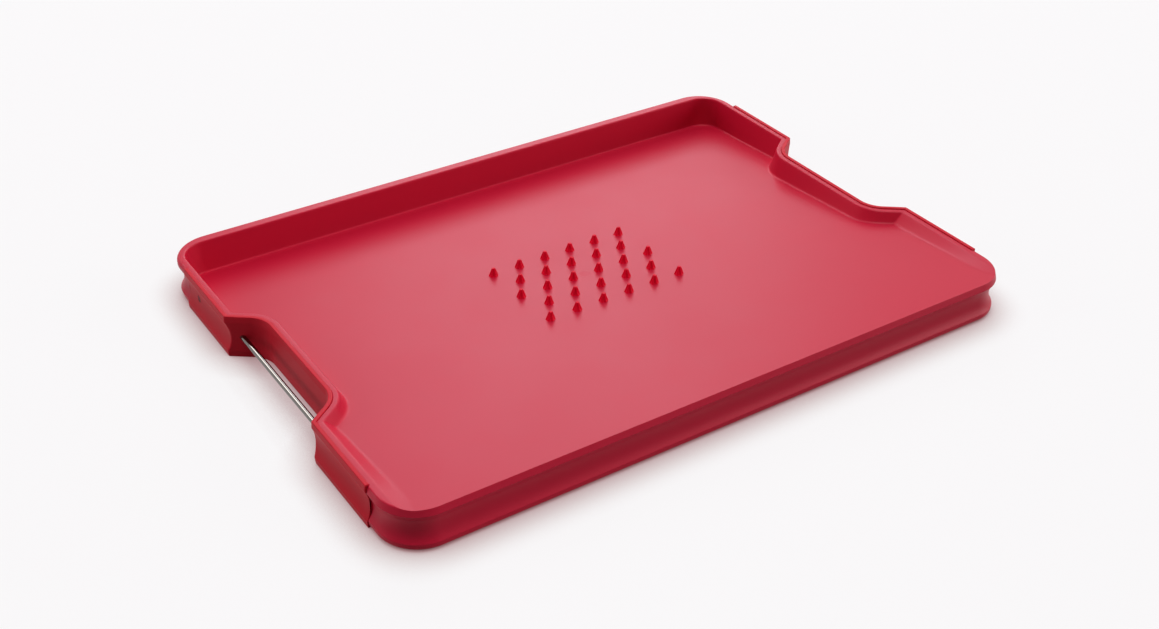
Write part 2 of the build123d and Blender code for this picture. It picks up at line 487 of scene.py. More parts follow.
def fall(tree: NodeTree, value: object, start: float, end: float) -> NodeSocket:
    """Adds a smooth fall from 1 to 0 while a value goes from start to end, and returns its result."""
    inputs = {"Value": value, "From Min": start, "From Max": end, "To Min": 1.0, "To Max": 0.0}
    return add_node(tree, "MapRange", inputs, interpolation_type="SMOOTHSTEP").outputs["Result"]


def mix(tree: NodeTree, share: object, first: object, second: object, blend: str = "MIX") -> NodeSocket:
    """Adds a mix of two colours with a share of the second one, and returns its result."""
    inputs = {"Factor": share, "A": first, "B": second}
    return add_node(tree, "Mix", inputs, data_type="RGBA", blend_type=blend).outputs["Result"]


def vary(tree: NodeTree, middle: object, lumps: object, spread: object) -> NodeSocket:
    """Adds the spread times the noise less a half to a middle value, and holds the sum between 0 and 1."""
    added = calculate(tree, "MULTIPLY", calculate(tree, "SUBTRACT", lumps, 0.5), spread)
    return calculate(tree, "ADD", middle, added, clamp=True)


def add_bump(
    tree: NodeTree, height: NodeSocket, distance: float, under: NodeSocket | None = None
) -> NodeSocket:
    """Adds a Bump node.

    Args:
        tree: The material's node tree.
        height: The height socket.
        distance: Height in metres that the socket's 0 to 1 stands for.
        under: Normal of an earlier Bump node to build on.

    Returns:
        Its normal.
    """
    inputs = {"Height": height, "Distance": distance, "Strength": 1.0}
    return add_node(tree, "Bump", inputs if under is None else inputs | {"Normal": under}).outputs["Normal"]


def new_group(
    name: str, inputs: dict[str, Kind], outputs: dict[str, Kind]
) -> tuple[NodeTree, NodeOutputs, NodeInputs]:
    """Starts a node group with its named sockets.

    Args:
        name: Its name.
        inputs: Kinds of its inputs by name.
        outputs: Kinds of its outputs by name.

    Returns:
        The group, the sockets that bring its inputs in and those that take its outputs.
    """
    group = bpy.data.node_groups.new(name, "ShaderNodeTree")
    for way, sockets in (("INPUT", inputs), ("OUTPUT", outputs)):
        for key, kind in sockets.items():
            group.interface.new_socket(name=key, in_out=way, socket_type=kind.value)
    return group, group.nodes.new("NodeGroupInput").outputs, group.nodes.new("NodeGroupOutput").inputs


SKIN_OUTPUTS = {"Colour": Kind.COLOUR, "Roughness": Kind.VALUE, "Height": Kind.VALUE}


def moulded_skin_group() -> NodeTree:
    """Skin of a moulded piece: faint clouds of colour and gloss, a fine grain, and long flow lines.

    Colour is the base colour mixed towards the deep colour by large noise. Roughness is its middle value plus
    medium noise times its spread. Height adds fine grain and noise stretched along X.

    Returns:
        The node group.
    """
    smear_scale, flow_scale, grain_share = 38.0, (12.0, 60.0, 60.0), 0.35
    group, given, result = new_group(
        "moulded_skin",
        {
            "Position": Kind.VECTOR,
            "Colour": Kind.COLOUR,
            "Deep Colour": Kind.COLOUR,
            "Cloud Size": Kind.VALUE,
            "Cloud Amount": Kind.VALUE,
            "Grain Size": Kind.VALUE,
            "Roughness": Kind.VALUE,
            "Roughness Spread": Kind.VALUE,
        },
        SKIN_OUTPUTS,
    )
    place = given["Position"]
    clouds = noise(group, place, given["Cloud Size"], detail=3.0)
    share = calculate(group, "MULTIPLY", clouds, given["Cloud Amount"], clamp=True)
    smears = noise(group, place, smear_scale, detail=4.0)
    grain = noise(group, place, given["Grain Size"], detail=2.0)
    stretched = add_node(group, "Mapping", {"Vector": place, "Scale": flow_scale}).outputs["Vector"]
    flow = noise(group, stretched, 1.0, detail=2.0)
    low = calculate(group, "MULTIPLY", grain, grain_share)
    high = calculate(group, "MULTIPLY", flow, 1.0 - grain_share)
    feed(result["Colour"], mix(group, share, given["Colour"], given["Deep Colour"]))
    feed(result["Roughness"], vary(group, given["Roughness"], smears, given["Roughness Spread"]))
    feed(result["Height"], calculate(group, "ADD", low, high))
    return group


def gate_mark_group() -> NodeTree:
    """Round scar where the plastic entered the mould: a shallow dish with a fine raised ring.

    The mask falls from 1 to 0 across the edge of the disc. The height is a narrow ring at the radius less the
    dish, from the distance between the position and the centre, as a share of the radius.

    Returns:
        The node group.
    """
    edge_start, ring_width = 0.88, 0.14
    group, given, result = new_group(
        "gate_mark",
        {"Position": Kind.VECTOR, "Centre": Kind.VECTOR, "Radius": Kind.VALUE},
        {"Mask": Kind.VALUE, "Height": Kind.VALUE},
    )
    apart = add_node(group, "VectorMath", {0: given["Position"], 1: given["Centre"]}, operation="DISTANCE")
    ratio = calculate(group, "DIVIDE", apart.outputs["Value"], given["Radius"])
    disc = fall(group, ratio, edge_start, 1.0)
    off_ring = calculate(group, "ABSOLUTE", calculate(group, "SUBTRACT", ratio, 1.0), 0.0)
    ring = fall(group, off_ring, 0.0, ring_width)
    feed(result["Mask"], disc)
    feed(result["Height"], calculate(group, "SUBTRACT", ring, disc))
    return group


def ground_steel_group() -> NodeTree:
    """Rod that was ground between wheels: fine rings round its length, with a few deeper ones.

    Noise is squeezed along Y so that it forms rings. Roughness and height follow it, and the colour darkens a
    little in the deepest rings.

    Returns:
        The node group.
    """
    across_scale = 60.0
    darkening = {"From Min": 0.25, "From Max": 0.6, "To Min": 0.8, "To Max": 1.0}
    group, given, result = new_group(
        "ground_steel",
        {
            "Position": Kind.VECTOR,
            "Colour": Kind.COLOUR,
            "Ring Density": Kind.VALUE,
            "Roughness": Kind.VALUE,
            "Roughness Spread": Kind.VALUE,
        },
        SKIN_OUTPUTS,
    )
    squeeze = {"X": across_scale, "Y": given["Ring Density"], "Z": across_scale}
    factors = add_node(group, "CombineXYZ", squeeze).outputs["Vector"]
    scaled = add_node(group, "VectorMath", {0: given["Position"], 1: factors}, operation="MULTIPLY")
    rings = noise(group, scaled.outputs["Vector"], 1.0, detail=3.0)
    shade = add_node(group, "MapRange", {"Value": rings} | darkening).outputs["Result"]
    feed(result["Colour"], mix(group, 1.0, given["Colour"], shade, "MULTIPLY"))
    feed(result["Roughness"], vary(group, given["Roughness"], rings, given["Roughness Spread"]))
    feed(result["Height"], rings)
    return group


def start_material(name: str) -> tuple[Material, NodeInputs, NodeSocket]:
    """Starts a material with a Principled shader.

    Args:
        name: Its name.

    Returns:
        The material, the inputs of its shader, and the piece's own coordinates.
    """
    material = bpy.data.materials.new(name)
    material.use_nodes = True
    place = add_node(material.node_tree, "TexCoord", {}).outputs["Object"]
    return material, material.node_tree.nodes["Principled BSDF"].inputs, place


@dataclass(frozen=True)
class MouldedFinish:
    """Moulded skin with one gate mark. Depths, the mark's place and its radius are in metres.

    Cloud and grain sizes are lumps per metre. The mark may be rougher than the skin by its mask, or darkened by
    it as painted shade in its dish.
    """

    colour: Colour
    deep_colour: Colour
    roughness: float
    roughness_spread: float
    ior: float
    cloud_size: float
    cloud_amount: float
    grain_size: float
    grain_depth: float
    mark_at: Triple
    mark_radius: float
    mark_depth: float
    mark_roughness: float = 0.0
    # painted shade in the gate mark's dish: how far the mark is darkened, and towards which colour
    mark_painted_shade: float = 0.0
    mark_painted_shade_colour: Colour = (0.10, 0.004, 0.009, 1.0)

    def make(self, name: str, skin: NodeTree, gate: NodeTree, side: int = 1) -> Material:
        """Makes the material.

        Args:
            name: Its name.
            skin: The moulded skin group.
            gate: The gate mark group.
            side: 1, or -1 to turn the mark's place half round the middle of the board.

        Returns:
            The material.
        """
        material, shader, place = start_material(name)
        tree = material.node_tree
        values = {
            "Position": place,
            "Colour": self.colour,
            "Deep Colour": self.deep_colour,
            "Cloud Size": self.cloud_size,
            "Cloud Amount": self.cloud_amount,
            "Grain Size": self.grain_size,
            "Roughness": self.roughness,
            "Roughness Spread": self.roughness_spread,
        }
        surface = add_node(tree, "Group", values, node_tree=skin).outputs
        centre = (side * self.mark_at[0], side * self.mark_at[1], self.mark_at[2])
        values = {"Position": place, "Centre": centre, "Radius": self.mark_radius}
        mark = add_node(tree, "Group", values, node_tree=gate).outputs
        colour, rough = surface["Colour"], surface["Roughness"]
        # painted shade: the mark's mask darkens its dish
        if self.mark_painted_shade:
            tint = calculate(tree, "MULTIPLY", mark["Mask"], self.mark_painted_shade)
            colour = mix(tree, tint, colour, self.mark_painted_shade_colour)
        if self.mark_roughness:
            added = calculate(tree, "MULTIPLY", mark["Mask"], self.mark_roughness)
            rough = calculate(tree, "ADD", rough, added, clamp=True)
        grain = add_bump(tree, surface["Height"], self.grain_depth)
        normal = add_bump(tree, mark["Height"], self.mark_depth, under=grain)
        feed_all(shader, {"Base Color": colour, "Roughness": rough, "IOR": self.ior, "Normal": normal})
        return material


@dataclass(frozen=True)
class BoardPlastic(MouldedFinish):
    """Glossy-satin polypropylene of the body."""

    colour: Colour = (0.535, 0.0080, 0.036, 1.0)
    deep_colour: Colour = (0.500, 0.0060, 0.030, 1.0)
    roughness: float = 0.39
    roughness_spread: float = 0.07
    ior: float = 1.25
    cloud_size: float = 7.0
    cloud_amount: float = 0.8
    grain_size: float = 1400.0
    grain_depth: float = 0.00001
    mark_at: Triple = (0.0, 0.0008, 0.0145)
    mark_radius: float = 0.0033
    mark_depth: float = 0.00002
    mark_roughness: float = 0.03


@dataclass(frozen=True)
class SpikePlasticPaintedGlow(BoardPlastic):
    """The same plastic in the thin spikes, made lighter and redder as a painted glow for the light that comes
    through them.
    """

    # painted glow: lighter than the board's colour, for light passing through the thin spikes
    colour: Colour = (0.74, 0.004, 0.030, 1.0)
    deep_colour: Colour = (0.66, 0.003, 0.024, 1.0)
    ior: float = 1.16


@dataclass(frozen=True)
class GripRubber(MouldedFinish):
    """Soft satin rubber of the end grips, with a gate mark near one end of each, darkened as painted shade in
    its dish.
    """

    colour: Colour = (0.57, 0.012, 0.027, 1.0)
    deep_colour: Colour = (0.52, 0.012, 0.027, 1.0)
    roughness: float = 0.46
    roughness_spread: float = 0.09
    ior: float = 1.18
    cloud_size: float = 22.0
    cloud_amount: float = 0.7
    grain_size: float = 2200.0
    grain_depth: float = 0.00002
    mark_at: Triple = (0.1882, -0.0940, 0.0124)
    mark_radius: float = 0.0019
    mark_depth: float = 0.0007
    # painted shade in the dish of the grip's gate mark
    mark_painted_shade: float = 0.85


@dataclass(frozen=True)
class RodSteel:
    """Bright ground stainless steel, its colour set far darker than such steel as a painted dark reflection, so
    that the white room it mirrors shows as dark bands.
    """

    # painted dark reflection: far darker than steel, so the white room mirrors as dark bands
    colour: Colour = (0.18, 0.165, 0.152, 1.0)
    roughness: float = 0.08
    roughness_spread: float = 0.10
    ring_density: float = 2600.0
    ring_depth: float = 0.000004

    def make(self, name: str, steel: NodeTree) -> Material:
        """Makes the material.

        Args:
            name: Its name.
            steel: The ground steel group.

        Returns:
            The material.
        """
        material, shader, place = start_material(name)
        tree = material.node_tree
        values = {
            "Position": place,
            "Colour": self.colour,
            "Ring Density": self.ring_density,
            "Roughness": self.roughness,
            "Roughness Spread": self.roughness_spread,
        }
        surface = add_node(tree, "Group", values, node_tree=steel).outputs
        finish = {"Base Color": surface["Colour"], "Roughness": surface["Roughness"], "Metallic": 1.0}
        feed_all(shader, finish | {"Normal": add_bump(tree, surface["Height"], self.ring_depth)})
        return material


# -------- pieces


@dataclass
class BoardMoulding:
    """Rim and slanted plate in one moulding, alike on both sides.

    Lengths are in millimetres. Arcs, runs and steps count the steps of the mesh. The round at the mouth of the
    notch has a share of its own on the outline, the tray edge and the tray foot.
    """

    sizes: BoardSizes
    rim_round: float = 0.9
    foot_round: float = 1.3
    shallow_foot_round: float = 1.8
    seat_round: float = 0.3
    mouth_round: float = 0.9
    mouth_shares: tuple[float, float, float] = (0.6, 1.0, 2.2)
    seat_arcs: tuple[int, ...] = (6, 12, 12, 6)
    seat_runs: tuple[int, ...] = (8, 3, 8, 3, 8)
    lip_lean: float = 0.9
    cove_clear: float = 0.35
    cove_steps: int = 7
    cove_edge: tuple[tuple[float, float], ...] = ((-0.12, 0.10), (0.12, 0.02), (0.4, 0.0))
    corner_steps: int = 20
    side_steps: int = 2
    front_steps: int = 12
    edge_steps: int = 8
    blend_steps: int = 4
    floor_reach: float = 12.0

    def rim_section(self) -> tuple[np.ndarray, np.ndarray]:
        """Insets and heights of the cove and the lip, from mid-height up to the start of the deep edge round.

        The cove is an arc up to its clear distance from its edge. There a few points, each by its height past
        the edge and its inset, soften the edge.

        Returns:
            Insets from the outer face and heights, each of shape (rows,).
        """
        s = self.sizes
        half = s.top - s.lip_height - s.middle
        up = np.linspace(0.0, half - self.cove_clear, self.cove_steps + 1)
        past, edge_inset = np.array(self.cove_edge).T
        lip = s.top - s.deep_edge_round - s.middle
        inset = np.concatenate([cove_arc(up, half, s.cove_depth), edge_inset, [0.0]])
        return inset, np.concatenate([up, half + past, [lip]]) + s.middle

    def rear_stations(self) -> tuple[np.ndarray, np.ndarray, np.ndarray]:
        """Outline, tray edge and tray foot from the middle of the deep side round to the seat of the grip.

        Returns:
            Three chains in plan, shape (n, 2) each.
        """
        s = self.sizes
        wall_x, wall_y = s.half_length - s.end_rim, s.half_width - s.long_rim
        foot_y = wall_y - s.deep_foot
        foot_x, foot_end_x = s.end_foot_x(foot_y), s.end_foot_x(s.grip_reach)
        corners = [
            [(0, s.half_width), (s.body_x, s.half_width), (s.body_x, s.grip_reach)],
            [(0, wall_y), (wall_x, wall_y), (wall_x, s.grip_reach)],
            [(0, foot_y), (foot_x, foot_y), (foot_end_x, s.grip_reach)],
        ]
        radii = np.array([[s.corner_radius], [s.tray_radius], [s.tray_radius - s.deep_foot]])
        steps = [self.front_steps, self.side_steps]
        return tuple(rounded_chain(np.array(corners, dtype=float), radii, [self.corner_steps], steps))

    def seat_stations(self) -> tuple[np.ndarray, np.ndarray, np.ndarray]:
        """Outline, tray edge and tray foot along the right end wall, where the grip sits.

        Returns:
            Three chains in plan, shape (n, 2) each.
        """
        s = self.sizes
        insets = np.array([s.grip_wall + s.grip_gap, s.end_rim, s.end_rim + s.notch_foot])
        walls = s.notch_corners(insets[:2], np.zeros(2), s.grip_reach)
        chains = np.concatenate([walls, s.foot_corners(s.grip_reach)[None]])
        mouths = [self.mouth_round * share for share in self.mouth_shares]
        bends = [s.notch_bend + inset for inset in insets]
        radii = np.array([[mouth, bend, bend, mouth] for mouth, bend in zip(mouths, bends)])
        return tuple(rounded_chain(chains, radii, self.seat_arcs, self.seat_runs))

    def front_stations(self) -> tuple[np.ndarray, ...]:
        """Outline, tray edge and tray foot from the seat of the grip round to the middle of the shallow side.

        On a ray from the centre of the corner, the tray is the floor, then the ramp of the end wall, then the
        top. It ends where it meets the round of the outer edge, found by halving the interval between them.

        Returns:
            Outline, edge and foot in plan, then the height of edge and foot, and how far the edge round turns.
        """
        s = self.sizes
        halvings, least = 44, 1e-6
        centre = np.array([s.body_x - s.corner_radius, -(s.half_width - s.corner_radius)])
        turn = np.linspace(0, math.pi / 2, self.corner_steps + 1)
        side_y = np.linspace(-s.grip_reach, centre[1], self.side_steps + 1)[:-1]
        front_x = np.linspace(centre[0], 0, self.front_steps + 1)[1:]
        x = np.concatenate([np.full(len(side_y) + len(turn), centre[0]), front_x])
        y = np.concatenate([side_y, np.full(len(turn) + len(front_x), centre[1])])
        origin = np.stack([x, y], axis=1)
        angle = np.concatenate([np.zeros(len(side_y)), turn, np.full(len(front_x), math.pi / 2)])
        ray = np.stack([np.cos(angle), -np.sin(angle)], axis=1)
        run_edge = (s.half_length - s.end_rim - x) / np.maximum(ray[:, 0], least)
        run_foot = (float(s.end_foot_x(0)) + s.foot_slope * y - x) / (ray[:, 0] - s.foot_slope * ray[:, 1])
        run_edge[-self.front_steps :] = run_foot[-self.front_steps :] = FAR
        edge_round = s.shallow_edge_round
        reach = s.corner_radius - self.lip_lean

        def tray(run: np.ndarray) -> np.ndarray:
            """Height of the tray along the rays: the floor, then the ramp, then the top.

            Args:
                run: How far along each ray.

            Returns:
                Heights at those places.
            """
            floor = s.floor_height(y + run * ray[:, 1])
            low = s.floor_height(y + run_foot * ray[:, 1])
            ramp = low + (s.top - low) * (run - run_foot) / (run_edge - run_foot)
            return np.minimum(np.where(run < run_foot, floor, ramp), s.top)

        def rim(run: np.ndarray) -> np.ndarray:
            """Height of the outer edge round along the rays."""
            over = np.clip(run - reach + edge_round, 0, edge_round)
            return s.top - edge_round + np.sqrt(edge_round**2 - over**2)

        near = np.full(len(angle), reach - edge_round)
        far = np.full(len(angle), reach)
        for _ in range(halvings):
            half = (near + far) / 2
            above = rim(half) >= tray(half) - TINY
            near, far = np.where(above, half, near), np.where(above, far, half)
        edge, foot_run = np.minimum(run_edge, near), np.minimum(run_foot, near)
        runs = (np.full(len(x), s.corner_radius), edge, foot_run)
        turned = np.arccos(np.clip(1 - (reach - near) / edge_round, -1, 1))
        return *(origin + run[:, None] * ray for run in runs), tray(edge), tray(foot_run), turned

    def half_ring(self) -> np.ndarray:
        """Sections of the upper right quarter, from the deep side round to the shallow side.

        Each section runs from mid-height over the cove, the lip, the round outer edge, the flat of the rim and
        the tray wall to the plate. On the shallow half the lip leans back in proportion to the height up it,
        and the foot of the wall is rounded more, by the square of the way towards that side.

        Returns:
            Points of shape (rows, stations, 3).
        """
        s = self.sizes
        rear, seat, front = self.rear_stations(), self.seat_stations(), self.front_stations()
        outline, edge, foot = (np.concatenate(parts) for parts in zip(rear, seat, front))
        counts = len(rear[0]), len(seat[0]), len(front[0])
        first, second, _ = counts
        on_rim = np.repeat((True, False, True), counts)
        edge_height = np.concatenate([np.full(first + second, s.top), front[3]])
        foot_height = np.concatenate([s.floor_height(foot[: first + second, 1]), front[4]])
        turned = np.concatenate([np.full(first + second, math.pi / 2), front[5]])
        core = np.array([s.body_x - s.corner_radius, s.half_width - s.corner_radius])
        normal = outline - np.clip(outline, -core, core)
        normal /= np.linalg.norm(normal, axis=1, keepdims=True)
        normal[first : first + second] = outward_of(seat[0])

        inset, height = self.rim_section()
        inset = np.where(on_rim, inset[:, None], 0.0)
        height = np.repeat(height[:, None], len(outline), axis=1)
        radius = np.repeat((s.deep_edge_round, self.seat_round, s.shallow_edge_round), counts)
        height[-1] = s.top - radius
        angle = turned * np.linspace(0, 1, self.edge_steps + 1)[1:, None]
        inset = np.concatenate([inset, radius * (1 - np.cos(angle))])
        height = np.concatenate([height, s.top - radius + radius * np.sin(angle)])
        up_lip = (height - s.top + s.lip_height) / (s.lip_height - s.shallow_edge_round)
        inset += np.repeat((0.0, 0.0, self.lip_lean), counts) * np.clip(up_lip, 0, 1)
        outer = np.concatenate([outline - inset[..., None] * normal, height[..., None]], axis=2)

        edge_point = np.concatenate([edge, edge_height[:, None]], axis=1)
        foot_point = np.concatenate([foot, foot_height[:, None]], axis=1)
        inwards = foot - edge
        inwards /= np.maximum(np.linalg.norm(inwards, axis=1, keepdims=True), TINY)
        on_floor = np.concatenate([inwards, -s.floor_slope * inwards[:, 1:]], axis=1) * self.floor_reach
        upper = corner_blend(outer[-1], edge_point, foot_point, self.rim_round, self.blend_steps)
        shallow = np.clip(0.5 - foot[:, 1:] / s.width, 0, 1) ** 2
        foot_round = self.foot_round + (self.shallow_foot_round - self.foot_round) * shallow
        lower = corner_blend(edge_point, foot_point, foot_point + on_floor, foot_round, self.blend_steps)
        wall = (upper[-1:] * 2 + lower[:1]) / 3, (upper[-1:] + lower[:1] * 2) / 3
        return np.concatenate([outer, upper, *wall, lower])

    def build(self, material: Material) -> Object:
        """Closes the ring with its mirror image, adds the plate, and turns the shell over for the underside.

        Args:
            material: The board's plastic.

        Returns:
            The finished piece.
        """
        right = self.half_ring()
        left = right[:, ::-1] * np.array([-1.0, 1.0, 1.0])
        ring = np.concatenate([right, left], axis=1)
        rows, columns = ring.shape[:2]
        upper = ring.reshape(-1, 3)
        turned_over = upper * np.array([1.0, -1.0, -1.0]) + np.array([0.0, 0.0, self.sizes.height])
        quads = grid_faces(rows, columns, closed_columns=True)
        plate = np.arange((rows - 1) * columns, rows * columns)
        faces = quads.tolist() + [plate.tolist()]
        faces += (quads + len(upper)).tolist() + [(plate + len(upper)).tolist()]
        return make_piece("board_moulding", np.concatenate([upper, turned_over]), faces, material)


@dataclass
class SpikeField:
    """Ribbed spikes that hold a roast, in staggered rows upright on the slanted plate."""

    sizes: BoardSizes
    pitch: float = 16.8
    row_pitch: float = 14.65
    columns: int = 6
    rows: int = 5
    height: float = 4.8
    base_radius: float = 2.75
    tip_radius: float = 1.0
    tip_insets: tuple[float, ...] = (0.03, 0.14, 0.3, 0.62, 0.98)
    ribs: int = 6
    rib_power: float = 0.8
    groove_share: float = 0.34
    around: int = 60
    sharp_angle: float = 50.0

    def places(self) -> np.ndarray:
        """Centres of the spikes: every other row has one fewer and is shifted by half a pitch.

        Returns:
            Places on the plate, shape (spikes, 3).
        """
        row, column = np.meshgrid(np.arange(self.rows), np.arange(self.columns), indexing="ij")
        count = self.columns - row % 2
        x = (column - (count - 1) / 2) * self.pitch
        y = (row - (self.rows - 1) / 2) * self.row_pitch
        kept = column < count
        return np.stack([x[kept], y[kept], self.sizes.floor_height(y[kept])], axis=1)

    def section(self) -> tuple[np.ndarray, np.ndarray, np.ndarray]:
        """Radius, height and depth of the grooves from the root up to the middle of the dished tip.

        The side is straight from the base radius to the tip radius, and the rim at the tip is rounded by the
        tip insets. The grooves between the ribs start shallow at the plate and reach their depth a third of
        the way up. Each pair below is a share of the height and a share of the full groove.

        Returns:
            Radii, heights above the plate and groove shares, each of shape (rows,).
        """
        side = [(-0.083, 0.2), (0, 0.3), (0.02, 0.4), (0.05, 0.5), (0.1, 0.7), (0.3, 1), (0.5, 1), (0.7, 1)]
        side += [(0.86, 1), (0.95, 1)]
        tip = [(0.985, 0.95), (1, 0.9), (1, 0.8), (0.985, 0.4), (0.98, 0)]
        share, groove = np.array(side + tip).T
        inward = np.append(np.zeros(len(side)), self.tip_insets)
        radius = self.base_radius + (self.tip_radius - self.base_radius) * np.clip(share, 0, 1) - inward
        return radius, share * self.height, self.groove_share * groove

    def build(self, material: Material) -> Object:
        """Puts a ribbed cone at every place.

        Round each ring, the radius is the section's, less the groove share times one less the lobe, where the
        lobe is half of one plus the cosine of the angle from a rib times the number of ribs, to a power.

        Args:
            material: The board's plastic.

        Returns:
            The finished piece.
        """
        radius, height, groove = self.section()
        angle = full_turn(self.around)
        lobe = (0.5 + 0.5 * np.cos(self.ribs * (angle - math.pi / self.ribs))) ** self.rib_power
        reach = radius[:, None] * (1 - groove[:, None] * (1 - lobe))
        rise = np.repeat(height[:, None], self.around, axis=1)
        ring = np.stack([reach * np.cos(angle), reach * np.sin(angle), rise], axis=2)
        points = self.places()[:, None, None] + ring
        faces = tube_faces(len(radius), self.around, len(points))
        return make_piece("carving_spikes", points.reshape(-1, 3), faces, material, self.sharp_angle)


@dataclass
class EndGrip:
    """Rubber strip that follows the end wall and its hand notch, with its lengths in millimetres."""

    sizes: BoardSizes
    end: End
    lip_height: float = 3.7
    cove_depth: float = 2.1
    cove_clear: float = 0.2
    cove_steps: int = 8
    cove_edge: tuple[tuple[float, float], ...] = ((0.35, 0.0), (0.12, 0.03))
    edge_round: float = 0.45
    edge_steps: int = 4
    end_gap: float = 0.18
    mouth_round: float = 1.5
    least_round: float = 0.3
    lip_lean: float = 0.3
    path_arcs: tuple[int, ...] = (6, 14, 14, 6)
    path_runs: tuple[int, ...] = (10, 3, 8, 3, 10)

    def section(self) -> tuple[np.ndarray, np.ndarray, np.ndarray]:
        """Closed cross-section: insets, heights, and how deep the cove is at each point.

        The cove is an arc between the lips, with softened edges as on the board, and the lips lean back
        towards their edges in proportion to the height over the cove. Every outer edge is a quarter round.

        Returns:
            Insets from the outer face, heights, and cove depths, each of shape (rows,).
        """
        s, r = self.sizes, self.edge_round
        half = s.middle - self.lip_height
        past, edge_cove = np.array(self.cove_edge).T
        arc_up = np.linspace(half - self.cove_clear, 0.0, self.cove_steps + 1)
        up = np.concatenate([half + past, arc_up])
        cove = np.concatenate([edge_cove, cove_arc(arc_up, half, self.cove_depth)])
        side_up = np.concatenate([-up, up[-2::-1]])
        lean = self.lip_lean * np.clip((np.abs(side_up) - half) / (self.lip_height - r), 0, 1)
        rise, across = quarter_round(r, self.edge_steps)
        lip, back, top = self.lip_lean, s.grip_wall - across, s.height - r
        inset = np.concatenate([lip + across[::-1], lean, lip + across, back[::-1], back])
        height = np.concatenate([r - rise[::-1], s.middle + side_up, top + rise, top + rise[::-1], r - rise])
        depth = np.zeros(len(inset))
        depth[len(rise) : len(rise) + len(side_up)] = np.concatenate([cove, cove[-2::-1]])
        return inset, height, depth

    def build(self, material: Material) -> Object:
        """Carries the section along the end wall and rounds it off at both ends.

        At each end, the section shrinks by one less the cosine of an angle while the path goes on by its sine,
        both times the radius of the edges.

        Args:
            material: The grip's rubber.

        Returns:
            The finished piece.
        """
        s = self.sizes
        reach = s.grip_reach - self.end_gap - self.edge_round
        inset, height, cove = self.section()
        forward, shrink = quarter_round(self.edge_round, self.edge_steps)
        corners = s.notch_corners(inset, cove, reach)
        mouth_radius = np.maximum(self.mouth_round - inset, self.least_round)
        bend_radius = s.notch_bend + inset
        radii = np.stack([mouth_radius, bend_radius, bend_radius, mouth_radius], axis=1)
        path = rounded_chain(corners, radii, self.path_arcs, self.path_runs)
        middle = np.concatenate([path, np.repeat(height[:, None, None], path.shape[1], axis=1)], axis=2)
        ends = []
        for less, ahead in zip(shrink[1:], forward[1:]):
            x = s.half_length - cove - np.clip(inset, less, s.grip_wall - less)
            z = np.clip(height, less, s.height - less)
            ends.append(np.stack([x, np.full(len(x), reach + ahead), z], axis=1))
        shallow = np.stack(ends) * np.array([1.0, -1.0, 1.0])
        points = np.concatenate([ends[::-1], middle.transpose(1, 0, 2), shallow])
        points *= np.array([self.end.value, 1.0, 1.0])
        faces = tube_faces(*points.shape[:2])
        return make_piece(f"{self.end.name.lower()}_grip_strip", points.reshape(-1, 3), faces, material)


@dataclass
class HandleRod:
    """Steel rod across a hand notch, with rounded ends."""

    sizes: BoardSizes
    end: End
    diameter: float = 3.0
    inset: float = 7.35
    seat: float = 5.0
    end_round: float = 0.35
    end_steps: int = 5
    middle_steps: int = 24
    around: int = 48

    def build(self, material: Material) -> Object:
        """Turns its outline about the axis: radius by place along Y, with quarter rounds at both ends.

        Args:
            material: The rod's steel.

        Returns:
            The finished piece.
        """
        s = self.sizes
        reach = s.notch_mouth / 2 - self.inset * s.flank_slope + self.seat
        radius, start = self.diameter / 2, reach - self.end_round
        forward, shrink = quarter_round(self.end_round, self.end_steps)
        middle_y = np.linspace(-start, start, self.middle_steps + 1)[1:-1]
        y = np.concatenate([-(start + forward[::-1]), middle_y, start + forward])
        out = radius - np.concatenate([shrink[::-1], np.zeros(len(middle_y)), shrink])
        angle = full_turn(self.around)
        x = (s.half_length - self.inset) * self.end.value + out[:, None] * np.cos(angle)
        z = s.middle + out[:, None] * np.sin(angle)
        points = np.stack([x, np.repeat(y[:, None], self.around, axis=1), z], axis=2)
        faces = tube_faces(len(y), self.around)
        return make_piece(f"{self.end.name.lower()}_rod", points.reshape(-1, 3), faces, material)


# -------- studio


def towards(azimuth: float, elevation: float) -> Vector:
    """Direction of a light: azimuth in degrees from +X towards +Y, and elevation above the floor."""
    turn, rise = math.radians(azimuth), math.radians(elevation)
    return Vector((math.cos(turn) * math.cos(rise), math.sin(turn) * math.cos(rise), math.sin(rise)))


@dataclass(frozen=True)
class SoftLamp:
    """A distant lamp behind a diffuser, which may be kept out of reflections or be seen in them alone.

    Its angles are in degrees.
    """

    name: str
    azimuth: float
    elevation: float
    spread: float
    power: float
    mirrored: bool = True
    lighting: bool = True

    def hang(self) -> None:
        """Places the lamp. Its power is the light that falls on a sheet turned towards it."""
        lamp = bpy.data.lights.new(self.name, "SUN")
        lamp.energy = self.power
        lamp.angle = math.radians(self.spread)
        holder = link_object(self.name, lamp)
        holder.visible_glossy = self.mirrored
        holder.visible_diffuse = self.lighting
        holder.rotation_euler = towards(self.azimuth, self.elevation).to_track_quat("Z", "Y").to_euler()


@dataclass(frozen=True)
class SoftPanel:
    """A large soft panel near the board, turned towards it. Its angles are in degrees, its lengths in metres."""

    name: str
    azimuth: float
    elevation: float
    distance: float
    size: tuple[float, float]
    radiance: float
    colour: Triple

    def hang(self) -> None:
        """Places the panel. Its power is its radiance times pi times its area."""
        panel = bpy.data.lights.new(self.name, "AREA")
        panel.shape = "RECTANGLE"
        panel.size, panel.size_y = self.size
        panel.color = self.colour
        panel.energy = self.radiance * math.pi * panel.size * panel.size_y
        direction = towards(self.azimuth, self.elevation)
        holder = link_object(self.name, panel)
        holder.location = direction * self.distance
        holder.rotation_euler = direction.to_track_quat("Z", "Y").to_euler()


